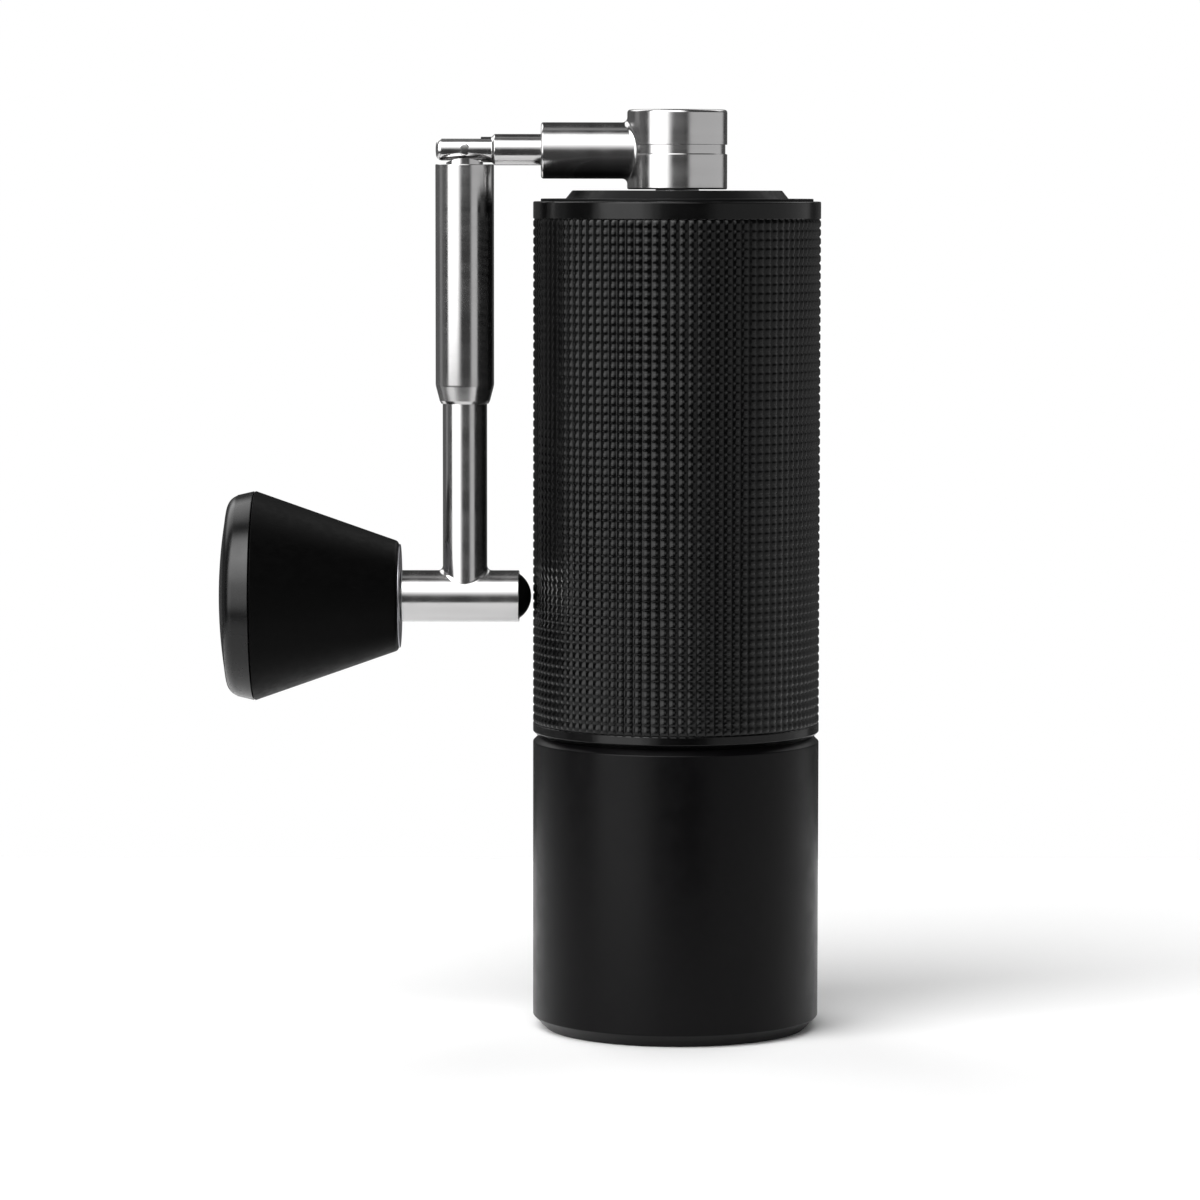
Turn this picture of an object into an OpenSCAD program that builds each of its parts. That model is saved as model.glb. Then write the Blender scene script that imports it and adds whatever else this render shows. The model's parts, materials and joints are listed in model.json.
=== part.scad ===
// Folding hand crank coffee grinder, in millimetres, +Z up.
// The origin is the centre of the catch cup's base, on the grinding axis.
// At rest the crank is folded: its arm points to -X, and the link hangs down beside the body.

/* [Body] */
// Outside diameter of the cup and the body
body_d = 53; // [52:0.5:56]
// Height of the joint between cup and body
cup_h = 54.4; // [50:0.2:66]
// Height of the body's top rim
body_h = 153.2; // [150:0.2:170]
// Rows of cells in the grip
grip_rows = 58; // [30:1:60]
// Depth of the grip's grooves
grip_depth = 0.45; // [0.2:0.05:0.6]

/* [Burrs] */
// Outside diameter of the outer burr
burr_d = 38; // [37:0.5:39]
// Clicks in one turn of the adjusting dial
dial_clicks = 30; // [20:1:36]
// Diameter of the adjusting dial
dial_d = 24; // [22:0.5:28]

/* [Crank] */
// Diameter of the hub
hub_d = 18.4; // [17:0.2:20]
// Height of the hub
hub_h = 14.6; // [13:0.1:16]
// Diameter of the thick part of the arm
arm_d = 10.34; // [9.5:0.02:10.4]
// Distance from the grinding axis to the fold pin
fold_reach = 39.1; // [39:0.1:42]
// Distance from the fold pin to the axis of the knob
link_len = 82.35; // [76:0.05:84]
// Outside diameter of the lock sleeve
sleeve_d = 10.8; // [10.6:0.1:11.2]
// Length of the lock sleeve
sleeve_len = 44; // [36:0.5:46]

/* [Knob] */
// Largest diameter of the knob
knob_d = 38.8; // [34:0.2:40]
// Diameter of the knob's inner end
knob_end_d = 20.4; // [19:0.2:24]
// Length of the knob's cone
knob_len = 26.6; // [24:0.1:28]

/* [Hidden] */
$fn = 96;

black_metal = "#1c1c1e";
black_plastic = "#141416";
black_rubber = "#0c0c0d";
steel = "#b9bbbe";
burr_steel = "#8f9296";
brass = "#b5964d";

// Clearance on radius of anything that runs or slides
run = 0.05;

// Body
body_r = body_d / 2;
notch = 1;
bore_r = body_r - 2.2;
lid_seat_r = body_r - 1.3;
lid_seat_z = body_h - 1.8;
thread_r = body_r - 1.75;
thread_root_r = thread_r - 0.55;
thread_bore_r = thread_r + 0.1;
thread_pitch = 1.5;
thread_turns = 4;
spigot_len = 7.8;
spigot_bore_r = body_r - 3.5;
cup_bore_r = body_r - 2.2;
cup_floor = 2.2;
cup_foot = 2.4;
cup_inner_round = 2;
grip_z0 = cup_h + 2.4;
grip_z1 = body_h - 3.1;
grip_pitch = (grip_z1 - grip_z0) / grip_rows;
grip_flank = 0.5;

// Burr group, measured up from the carrier's seat in the body
seat_z = cup_h + 3.6;
carrier_h = 32;
burr_r = burr_d / 2;
burr_z0 = seat_z + 2.6;
burr_h = 16.4;
burr_z1 = burr_z0 + burr_h;
clamp_r = bore_r - 1.6;
clamp_screw_r = (burr_r + clamp_r) / 2;
cone_z0 = burr_z0 - 0.1;
cone_h = 21.5;
cone_z1 = cone_z0 + cone_h;
plate_z0 = cone_z0 - 1.2;
dial_z1 = plate_z0 - 0.2;
dial_h = 7.6;
dial_z0 = dial_z1 - dial_h;
click_r = 8.2;

// Bearings: 8 mm bore, 16 mm outside, 5 mm wide
bearing_bore_r = 4;
bearing_r = 8;
bearing_w = 5;
ball_orbit_r = 6;
ball_r = 1;
ball_count = 9;
lower_bearing_z = seat_z + carrier_h;
upper_bracket_z = body_h - 25.5;
bracket_h = 5.5;
upper_bearing_z = upper_bracket_z + bracket_h - bearing_w;
bracket_hub_r = 10.2;
ring_w = 1.9;
spoke_w = 3.6;
circlip_h = 1;
circlip_groove = 0.6;

// Shaft and crank
shaft_r = bearing_bore_r;
shaft_flat = 3.2;
shaft_thread_r = 3;
shaft_z0 = dial_z0 - 2;
shoulder_gap = 0.25;
hub_r = hub_d / 2;
hub_z0 = body_h + 2.2;
hub_z1 = hub_z0 + hub_h;
hex_af = 6.9;
hex_z0 = hub_z0 - 0.15;
hex_h = 11.2;
lid_flange_z = body_h + 0.5;
lid_top_z = body_h + 2;
arm_z = hub_z0 + 7.1;
arm_r = arm_d / 2;
arm_end = 25.05;
neck_r = 2.86;
pin_x = -fold_reach;
pin_z = arm_z + 0.15;
pin_r = 1.1;
pin_reach = 2.3;
rod_r = 4.1;
eye_r = 2.35;
heel = 5.3;
heel_round = 1.2;
neck_step = 5;
slot_depth = 5.75;
tongue_w = 2.4;
tongue_r = 2;
fork_depth = 3;
lug_dome_r = 7.4;
lug_dome_top = 1.6;
lug_shoulder = 2.75;
sleeve_r = sleeve_d / 2;
sleeve_z1 = pin_z - 2.7;
sleeve_z0 = sleeve_z1 - sleeve_len;
sleeve_mouth_w = 0.95;
sleeve_mouth_h = 1.6;
sleeve_taper = 3.2;
o_ring_r = 0.35;

// Knob end of the link
tee_z = pin_z - link_len;
tee_r = 4.75;
tee_x0 = pin_x - 11.8;
bumper_h = 2.2;
tee_x1 = -(body_r + 0.35 + bumper_h);
tee_bore_r = 3.4;
axle_r = 2.5;
bush_len = 5;
inner_bush_x = tee_x1 - 4.1;
end_disc_h = 0.3;
knob_x0 = tee_x0 - 0.15 - end_disc_h;
knob_x1 = knob_x0 - knob_len;
knob_r = knob_d / 2;
knob_end_r = knob_end_d / 2;
knob_wall = 2.6;
knob_floor = 3.2;
knob_boss_r = 5.5;
nut_af = 7;
nut_h = 3;
cap_edge = 3.4;
cap_r = knob_r - 0.75;
cap_round = 2.6;
cap_dome = 1.45;

// Points along an arc about [cx, cy], from angle a0 to a1
function arc(cx, cy, r, a0, a1, n = 8) =
    [for (i = [0:n]) let (a = a0 + (a1 - a0) * i / n) [cx + r * cos(a), cy + r * sin(a)]];

module lathe(points) {
    rotate_extrude() polygon(points);
}

module ring(r0, r1, z0, z1) {
    translate([0, 0, z0]) rotate_extrude() translate([r0, 0]) square([r1 - r0, z1 - z0]);
}

// Turns a shape drawn along Z so that its height runs along X, on the knob's axis
module on_knob_axis() {
    translate([0, 0, tee_z]) rotate([0, 90, 0]) children();
}

module around(count, start = 0) {
    for (i = [0:count - 1]) rotate(start + i * 360 / count) children();
}

module hexagon_bar(across_flats, h) {
    cylinder(r = across_flats / 2 / cos(30), h = h, $fn = 6);
}

// A compression spring from z0 to z1, as one swept polyhedron
module spring(mean_r, wire_r, z0, z1, turns, steps, sides = 8) {
    rings = turns * steps;
    rise = z1 - z0 - 2 * wire_r;
    points = [
        for (i = [0:rings])
            let (a = 360 * i / steps, z = z0 + wire_r + rise * i / rings)
            for (k = [0:sides - 1])
                let (b = 360 * k / sides, r = mean_r + wire_r * cos(b))
                [r * cos(a), r * sin(a), z + wire_r * sin(b)]
    ];
    walls = [
        for (i = [0:rings - 1], k = [0:sides - 1])
            let (j = (k + 1) % sides, p = i * sides, q = p + sides)
            each [[p + k, q + k, q + j], [p + k, q + j, p + j]]
    ];
    start_cap = [[for (k = [0:sides - 1]) k]];
    end_cap = [[for (k = [sides - 1:-1:0]) rings * sides + k]];
    polyhedron(points, concat(walls, start_cap, end_cap));
}

// Screw ridges on the body's spigot, as rings
function thread_ridges(z0) = [
    for (i = [0:thread_turns - 1], p = [[0, 0], [1, 0.3], [1, 0.5], [0, 0.8]])
        [thread_root_r + p[0] * (thread_r - thread_root_r), z0 + (i + p[1]) * thread_pitch]
];

// One row of grip cells: groove, flank, land
function grip_profile() = [
    for (i = [0:grip_rows - 1])
        let (z = grip_z0 + i * grip_pitch)
        each [[body_r - grip_depth, z], [body_r, z + grip_flank], [body_r, z + grip_pitch - grip_flank]]
];

// An inward notch in the body's bore for a circlip
function circlip_seat(z) = [
    [bore_r, z + circlip_h + 0.1], [bore_r + circlip_groove, z + circlip_h + 0.1],
    [bore_r + circlip_groove, z - 0.1], [bore_r, z - 0.1]
];

module catch_cup() {
    color(black_metal) lathe(concat(
        [[0, 0], [body_r - cup_foot, 0], [body_r, cup_foot], [body_r, cup_h - notch],
         [body_r - notch, cup_h], [thread_bore_r, cup_h], [thread_bore_r, cup_h - spigot_len - 0.6],
         [cup_bore_r, cup_h - spigot_len - 1.2]],
        arc(cup_bore_r - cup_inner_round, cup_floor + cup_inner_round, cup_inner_round, 0, -90),
        [[0, cup_floor]]
    ));
}

module body_shell() {
    spigot_z = cup_h - spigot_len;
    color(black_metal) lathe(concat(
        [[spigot_bore_r, spigot_z], [thread_root_r, spigot_z]],
        thread_ridges(spigot_z + 0.9),
        [[thread_root_r, cup_h], [body_r - notch, cup_h], [body_r, cup_h + notch], [body_r, grip_z0]],
        grip_profile(),
        [[body_r - grip_depth, grip_z1], [body_r, grip_z1], [body_r, body_h - 0.25],
         [body_r - 0.25, body_h], [lid_seat_r, body_h], [lid_seat_r, lid_seat_z], [bore_r, lid_seat_z]],
        circlip_seat(upper_bracket_z + bracket_h + 0.1),
        circlip_seat(upper_bracket_z - circlip_h - 0.1),
        circlip_seat(lower_bearing_z + 2.6),
        [[bore_r, seat_z], [spigot_bore_r, seat_z]]
    ));
}

module burr_carrier() {
    throat_r = burr_r - 2.8;
    pocket_r = burr_r + 0.03;
    color(black_plastic) difference() {
        lathe([
            [clamp_r + 0.1, seat_z], [bore_r - run, seat_z], [bore_r - run, seat_z + carrier_h],
            [bore_r - 0.9, seat_z + carrier_h], [throat_r, burr_z1 + 2], [throat_r, burr_z1],
            [pocket_r, burr_z1], [pocket_r, burr_z0], [clamp_r + 0.1, burr_z0]
        ]);
        around(3) translate([clamp_screw_r, 0, burr_z0 - 1]) cylinder(r = 1, h = 9);
    }
}

module outer_burr() {
    color(burr_steel) difference() {
        lathe([
            [burr_r - 3.05, burr_z0], [burr_r, burr_z0], [burr_r, burr_z1], [burr_r - 4, burr_z1],
            [burr_r - 6.6, burr_z0 + 10.9], [burr_r - 3.65, burr_z0 + 2.9]
        ]);
        around(24) translate([burr_r - 4.6, 0, burr_z0 + 5]) rotate([16, -18, 0])
            cube([2, 0.7, 14], center = true);
    }
}

module burr_clamp_ring() {
    color(burr_steel) difference() {
        ring(burr_r - 2.6, clamp_r, seat_z + 0.2, burr_z0);
        around(3) translate([clamp_screw_r, 0, seat_z]) {
            cylinder(r = 1.3, h = 4);
            cylinder(r = 2.1, h = 1.6);
        }
    }
}

module clamp_screws() {
    head_z = seat_z + 0.3;
    color(steel) around(3) translate([clamp_screw_r, 0, 0]) difference() {
        union() {
            translate([0, 0, head_z]) cylinder(r = 1.95, h = 1.3);
            translate([0, 0, head_z + 1.3]) cylinder(r = 1, h = 8);
        }
        translate([0, 0, head_z - 0.1]) hexagon_bar(1.5, 0.9);
    }
}

// Three-armed bearing holder: rim, hub and spokes, before its bearing seat is cut
module spider(z, h) {
    ring(bore_r - run - ring_w, bore_r - run, z, z + min(h, 2.5));
    translate([0, 0, z]) cylinder(r = bracket_hub_r, h = h);
    around(3, 60) translate([bracket_hub_r - 1, -spoke_w / 2, z])
        cube([bore_r - ring_w - bracket_hub_r + 1.8, spoke_w, min(h, 2.5)]);
}

module lower_bracket() {
    color(black_plastic) difference() {
        spider(lower_bearing_z, bearing_w + 1);
        translate([0, 0, lower_bearing_z - 1]) cylinder(r = bearing_r, h = bearing_w + 1);
        translate([0, 0, lower_bearing_z]) cylinder(r = 6.6, h = bearing_w + 2);
    }
}

module upper_bracket() {
    color(black_plastic) difference() {
        spider(upper_bracket_z, bracket_h);
        translate([0, 0, upper_bearing_z]) cylinder(r = bearing_r, h = bearing_w + 1);
        translate([0, 0, upper_bracket_z - 1]) cylinder(r = 6.6, h = bearing_w);
    }
}

module race(r0, r1, z) {
    color(steel) difference() {
        ring(r0, r1, z, z + bearing_w);
        translate([0, 0, z + bearing_w / 2]) rotate_extrude()
            translate([ball_orbit_r, 0]) circle(r = ball_r + run);
    }
}

module outer_race(z) {
    race(ball_orbit_r + 0.75, bearing_r, z);
}

module inner_race(z) {
    race(bearing_bore_r, ball_orbit_r - 0.75, z);
}

module balls_and_cage(z) {
    color(steel) translate([0, 0, z + bearing_w / 2]) {
        ring(ball_orbit_r - 0.35, ball_orbit_r + 0.35, -0.6, 0.6);
        around(ball_count) translate([ball_orbit_r, 0, 0]) sphere(r = ball_r);
    }
}

module shields(z) {
    color(black_rubber) for (side = [0.15, bearing_w - 0.45])
        ring(ball_orbit_r - 0.65, ball_orbit_r + 0.75, z + side, z + side + 0.3);
}

// An open spring ring that sits in a groove of the body's bore
module circlip(z) {
    color(burr_steel) difference() {
        ring(bore_r - 0.9, bore_r + circlip_groove - 0.1, z, z + circlip_h);
        translate([0, -3, z - 1]) cube([body_r, 6, circlip_h + 2]);
    }
}

module carrier_circlip() {
    circlip(lower_bearing_z + 2.6);
}

module bracket_circlips() {
    circlip(upper_bracket_z + bracket_h + 0.1);
    circlip(upper_bracket_z - circlip_h - 0.1);
}

module lid_cover() {
    hole_r = shaft_r + 0.7;
    skirt_r = bore_r - 0.3;
    color(black_plastic) lathe([
        [hole_r, lid_top_z], [bore_r - 5, lid_top_z], [bore_r - 3.8, lid_flange_z],
        [lid_seat_r - 0.1, lid_flange_z], [lid_seat_r - 0.1, lid_seat_z], [skirt_r, lid_seat_z],
        [skirt_r, lid_seat_z - 1.3], [skirt_r - 0.8, lid_seat_z - 1.3],
        [skirt_r - 0.8, lid_seat_z - 3.3], [skirt_r, lid_seat_z - 3.3], [skirt_r, lid_seat_z - 5.1],
        [skirt_r - 2, lid_seat_z - 5.1], [skirt_r - 2, body_h - 2.2], [skirt_r - 5.4, body_h - 0.3],
        [hole_r + 1.7, body_h - 0.3], [hole_r + 1.7, body_h - 2], [hole_r, body_h - 2]
    ]);
}

module lid_gasket() {
    inner = bore_r - 1.1;
    lip = bore_r - 0.1;
    z = lid_seat_z - 3.25;
    color(black_rubber) lathe([
        [inner, z], [lip, z], [lip, z + 0.4], [lip - 0.4, z + 0.7], [lip - 0.4, z + 1.1],
        [lip, z + 1.4], [lip, z + 1.9], [inner, z + 1.9]
    ]);
}

module drive_shaft() {
    clip_z = upper_bearing_z + bearing_w + 0.1;
    // The shoulder stays above the dial's insert when the dial is wound fully up.
    shoulder_z = plate_z0 + shoulder_gap;
    flat_h = cone_h + 3 - shoulder_gap;
    color(steel) difference() {
        union() {
            translate([0, 0, shaft_z0]) cylinder(r1 = shaft_thread_r - 0.5, r2 = shaft_thread_r, h = 0.5);
            translate([0, 0, shaft_z0 + 0.5]) cylinder(r = shaft_thread_r, h = shoulder_z - shaft_z0 - 0.5);
            intersection() {
                translate([0, 0, shoulder_z]) cylinder(r = shaft_r, h = flat_h);
                translate([-10, -shaft_flat, shoulder_z]) cube([20, 2 * shaft_flat, flat_h]);
            }
            translate([0, 0, plate_z0 + cone_h + 3])
                cylinder(r = shaft_r, h = hex_z0 - plate_z0 - cone_h - 3);
            translate([0, 0, hex_z0]) hexagon_bar(hex_af, hex_h);
        }
        ring(shaft_r - 0.8, shaft_r + 1, clip_z, clip_z + 1);
    }
}

module shaft_clip() {
    z = upper_bearing_z + bearing_w + 0.15;
    color(burr_steel) difference() {
        ring(shaft_r - 0.75, shaft_r + 1.6, z, z + 0.9);
        translate([0, -2.4, z - 1]) cube([10, 4.8, 3]);
    }
}

module spring_washer() {
    z1 = lower_bearing_z - 0.05;
    color(steel) lathe([
        [shaft_r + run, z1], [shaft_r + 1, z1], [shaft_r + 1, z1 - 0.6], [shaft_r + 2.6, z1 - 0.6],
        [shaft_r + 2.6, z1 - 1.4], [shaft_r + run, z1 - 1.4]
    ]);
}

module burr_spring() {
    color(steel) spring(5.45, 0.45, cone_z1 + 0.05, lower_bearing_z - 1.5, 4, 20);
}

module inner_burr() {
    color(burr_steel) difference() {
        lathe([
            [0, cone_z0], [burr_r - 3.8, cone_z0], [burr_r - 3.8, cone_z0 + 0.8],
            [burr_r - 4.1, cone_z0 + 2.5], [burr_r - 9.8, cone_z0 + 11], [7, cone_z1 - 0.6],
            [6.4, cone_z1], [0, cone_z1]
        ]);
        intersection() {
            translate([0, 0, cone_z0 - 1]) cylinder(r = shaft_r + run, h = cone_h + 2);
            translate([-10, -shaft_flat - run, cone_z0 - 1]) cube([20, 2 * (shaft_flat + run), cone_h + 2]);
        }
        around(6) translate([burr_r - 9.2, 0, cone_z0 + 16]) rotate([-25, -14, 0])
            cylinder(r = 2.6, h = 15.5, center = true);
        around(24) translate([burr_r - 3.7, 0, cone_z0 + 3.4]) rotate([-20, -33, 0])
            cube([3, 0.8, 9], center = true);
    }
}

module click_plate() {
    color(steel) difference() {
        ring(shaft_r + run, click_r + 1.8, plate_z0, cone_z0);
        around(dial_clicks) translate([click_r, 0, plate_z0 - 1]) cylinder(r = 0.45, h = 4);
    }
}

module adjust_dial() {
    dial_r = dial_d / 2;
    color(black_plastic) difference() {
        lathe([
            [5, dial_z0], [dial_r - 0.8, dial_z0], [dial_r, dial_z0 + 0.8], [dial_r, dial_z1 - 0.5],
            [dial_r - 0.5, dial_z1], [5, dial_z1]
        ]);
        around(12, 15) translate([dial_r + 0.9, 0, dial_z0 - 1]) cylinder(r = 1.7, h = dial_h + 2);
        around(3) translate([click_r, 0, dial_z1 - 3.6]) cylinder(r = 0.85, h = 5);
    }
}

module dial_insert() {
    color(brass) ring(shaft_thread_r + run, 5, dial_z0, dial_z1);
}

module click_springs() {
    color(steel) around(3) translate([click_r, 0, 0])
        spring(0.55, 0.14, dial_z1 - 3.55, dial_z1 - 1.5, 4, 8, 6);
}

module click_balls() {
    color(steel) around(3) translate([click_r, 0, dial_z1 - 0.62]) sphere(r = 0.8);
}

module hub_boss() {
    groove_z = hub_z0 + 6.4;
    color(steel) difference() {
        lathe([
            [0, hub_z0], [hub_r - 0.3, hub_z0], [hub_r, hub_z0 + 0.3], [hub_r, groove_z],
            [hub_r - 0.35, groove_z + 0.25], [hub_r - 0.35, groove_z + 1.8], [hub_r, groove_z + 1.8],
            [hub_r, hub_z1 - 0.6], [hub_r - 0.6, hub_z1], [0, hub_z1]
        ]);
        translate([0, 0, hub_z0 - 1]) hexagon_bar(hex_af + 2 * run, hex_h + 1.5);
        translate([-5.2, 0, arm_z]) rotate([0, -90, 0]) cylinder(r = arm_r, h = hub_r);
    }
}

// A round bar along Y across the hinge, at dz from the fold pin
module crossbar(r, dz) {
    translate([pin_x, 0, pin_z + dz]) rotate([90, 0, 0]) cylinder(r = r, h = 10, center = true);
}

// The end of the arm that the fold pin goes through: a round bar with a rounded heel, before its fork is cut
module arm_eye() {
    translate([pin_x, 0, pin_z]) rotate([0, 90, 0]) rotate_extrude() polygon(concat(
        [[0, neck_step + 1], [neck_r, neck_step + 1], [neck_r, neck_step + neck_r - eye_r],
         [eye_r, neck_step]],
        arc(eye_r - heel_round, heel_round - heel, heel_round, 0, -90),
        [[0, -heel]]
    ));
}

module crank_arm() {
    color(steel) difference() {
        union() {
            translate([-5.2, 0, arm_z]) rotate([0, -90, 0]) cylinder(r = arm_r, h = arm_end - 5.7);
            translate([0.5 - arm_end, 0, arm_z]) rotate([0, -90, 0])
                cylinder(r1 = arm_r, r2 = arm_r - 0.5, h = 0.5);
            translate([1 - arm_end, 0, pin_z]) rotate([0, -90, 0])
                cylinder(r = neck_r, h = fold_reach - arm_end - neck_step + 0.4);
            arm_eye();
        }
        translate([pin_x - heel - 1, -tongue_w / 2 - run, pin_z - 5])
            cube([heel + 1 + fork_depth, tongue_w + 2 * run, 10]);
        crossbar(pin_r, 0);
    }
}

// The flat tongue on top of the rod that stands in the arm's fork
module rod_tongue() {
    translate([0, tongue_w / 2, 0]) rotate([90, 0, 0]) linear_extrude(tongue_w) {
        translate([pin_x, pin_z]) circle(r = tongue_r);
        translate([pin_x - tongue_r, pin_z - slot_depth - 1]) square([2 * tongue_r, slot_depth + 1]);
    }
}

module link_rod() {
    side = eye_r + run;
    color(steel) difference() {
        union() {
            difference() {
                translate([pin_x, 0, tee_z]) cylinder(r = rod_r, h = link_len);
                translate([pin_x - 10, -side, pin_z - slot_depth]) cube([20, 2 * side, 2 * slot_depth]);
                difference() {
                    translate([pin_x - 10, -10, pin_z - lug_shoulder]) cube([20, 20, 10]);
                    crossbar(lug_dome_r, -lug_dome_top - lug_dome_r);
                }
            }
            rod_tongue();
        }
        on_knob_axis() translate([0, 0, tee_x0 - 1]) cylinder(r = tee_r, h = tee_x1 - tee_x0 + 2);
        crossbar(pin_r + run, 0);
    }
}

module hinge_pin() {
    color(steel) translate([pin_x, 0, pin_z]) rotate([90, 0, 0])
        cylinder(r = pin_r, h = 2 * pin_reach, center = true);
}

module lock_sleeve() {
    bore = rod_r + run;
    groove_z = sleeve_z0 + 5;
    color(steel) translate([pin_x, 0, 0]) lathe([
        [bore, sleeve_z0], [bore + 0.15, sleeve_z0], [sleeve_r - 0.75, sleeve_z0 + 0.5],
        [sleeve_r, sleeve_z0 + sleeve_taper], [sleeve_r, sleeve_z1 - 0.2], [sleeve_r - 0.2, sleeve_z1],
        [bore + sleeve_mouth_w, sleeve_z1], [bore, sleeve_z1 - sleeve_mouth_h],
        [bore, groove_z + 1], [bore + 2 * o_ring_r, groove_z + 1], [bore + 2 * o_ring_r, groove_z],
        [bore, groove_z]
    ]);
}

module sleeve_o_ring() {
    color(black_rubber) translate([pin_x, 0, sleeve_z0 + 5.5]) rotate_extrude()
        translate([rod_r + run + o_ring_r, 0]) circle(r = o_ring_r);
}

module tee_bar() {
    color(steel) on_knob_axis() lathe([
        [tee_bore_r, tee_x0], [tee_r - 0.2, tee_x0], [tee_r, tee_x0 + 0.2], [tee_r, tee_x1 - 0.2],
        [tee_r - 0.2, tee_x1], [tee_bore_r, tee_x1]
    ]);
}

module tee_bushes() {
    color(brass) on_knob_axis() for (x = [tee_x0, inner_bush_x - bush_len])
        ring(axle_r + run, tee_bore_r, x, x + bush_len);
}

module bumper() {
    stem = 1.9;
    dome_r = 4.1;
    sphere_r = (dome_r * dome_r + bumper_h * bumper_h) / (2 * bumper_h);
    half = asin(dome_r / sphere_r);
    color(black_rubber) on_knob_axis() lathe(concat(
        [[0, tee_x1 - stem], [tee_bore_r, tee_x1 - stem], [tee_bore_r, tee_x1]],
        arc(0, tee_x1 + bumper_h - sphere_r, sphere_r, 90 - half, 90)
    ));
}

module knob_axle() {
    clip_x = inner_bush_x + 0.2;
    thread_x = knob_x1 + 1.7;
    color(steel) on_knob_axis() difference() {
        union() {
            translate([0, 0, thread_x - nut_h - 0.6]) cylinder(r = 2, h = nut_h + 0.6);
            translate([0, 0, thread_x]) cylinder(r = axle_r, h = clip_x + 1.5 - thread_x);
        }
        ring(axle_r - 0.6, axle_r + 1, clip_x, clip_x + 0.8);
    }
}

module axle_clip() {
    x = inner_bush_x + 0.25;
    color(burr_steel) on_knob_axis() difference() {
        ring(axle_r - 0.55, axle_r + 0.7, x, x + 0.7);
        translate([0, -1.3, x - 1]) cube([6, 2.6, 3]);
    }
}

module knob_end_disc() {
    color(burr_steel) on_knob_axis() ring(axle_r + run, knob_end_r - 0.6, knob_x0, knob_x0 + end_disc_h);
}

module knob_body() {
    slope = (knob_r - knob_end_r) / knob_len;
    function cone_r(x) = knob_end_r + slope * (knob_x0 - x);
    nut_x = knob_x1 + 1.7;
    floor_x = knob_x0 - knob_floor;
    color(black_plastic) on_knob_axis() lathe([
        [axle_r, knob_x0], [knob_end_r - 0.8, knob_x0], [knob_end_r - 0.2, knob_x0 - 0.3],
        [cone_r(knob_x0 - 1), knob_x0 - 1], [knob_r, knob_x1], [knob_r - knob_wall, knob_x1],
        [cone_r(floor_x) - knob_wall, floor_x], [knob_boss_r, floor_x], [knob_boss_r, nut_x],
        [axle_r, nut_x]
    ]);
}

module knob_nut() {
    color(steel) on_knob_axis() translate([0, 0, knob_x1 + 1.7 - nut_h]) difference() {
        hexagon_bar(nut_af, nut_h);
        translate([0, 0, -1]) cylinder(r = 2, h = nut_h + 2);
    }
}

module knob_cap() {
    edge_x = knob_x1 - cap_edge;
    spigot_r = knob_r - knob_wall - 1;
    sphere_r = ((cap_r - cap_round) * (cap_r - cap_round) + cap_dome * cap_dome) / (2 * cap_dome);
    half = asin((cap_r - cap_round) / sphere_r);
    face_x = edge_x - cap_round + 0.9;
    color(black_plastic) on_knob_axis() lathe(concat(
        [[knob_boss_r + 0.6, knob_x1 + 2], [spigot_r - 1.6, knob_x1 + 2], [spigot_r, knob_x1 + 2],
         [spigot_r, knob_x1], [knob_r, knob_x1], [cap_r, edge_x + 0.6]],
        arc(cap_r - cap_round, edge_x + 0.9, cap_round, -10, -82, 6),
        arc(0, face_x - cap_dome + sphere_r, sphere_r, half - 90, -90),
        [[0, face_x + 1.4], [knob_boss_r + 0.6, face_x + 1.4]]
    ));
}

catch_cup();
body_shell();
burr_carrier();
outer_burr();
burr_clamp_ring();
clamp_screws();
lower_bracket();
outer_race(lower_bearing_z);  // lower_bearing_outer
shields(lower_bearing_z);  // lower_bearing_shields
balls_and_cage(lower_bearing_z);  // lower_bearing_balls
inner_race(lower_bearing_z);  // lower_bearing_inner
carrier_circlip();
upper_bracket();
outer_race(upper_bearing_z);  // upper_bearing_outer
shields(upper_bearing_z);  // upper_bearing_shields
balls_and_cage(upper_bearing_z);  // upper_bearing_balls
inner_race(upper_bearing_z);  // upper_bearing_inner
bracket_circlips();
lid_cover();
lid_gasket();
drive_shaft();
shaft_clip();
spring_washer();
burr_spring();
inner_burr();
click_plate();
adjust_dial();
dial_insert();
click_springs();
click_balls();
hub_boss();
crank_arm();
link_rod();
hinge_pin();
lock_sleeve();
sleeve_o_ring();
tee_bar();
tee_bushes();
bumper();
knob_axle();
axle_clip();
knob_end_disc();
knob_body();
knob_nut();
knob_cap();
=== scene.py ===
"""The looks of a folding hand crank coffee grinder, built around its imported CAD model.

Lengths are in millimetres until a mesh is made, which turns them into metres.
The crank is folded: its arm points to -X, and the camera looks along +Y.
"""

import json
from math import atan2, cos, pi, radians, sin, sqrt, tan

import bmesh
import bpy
from mathutils import Matrix, Vector


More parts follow.
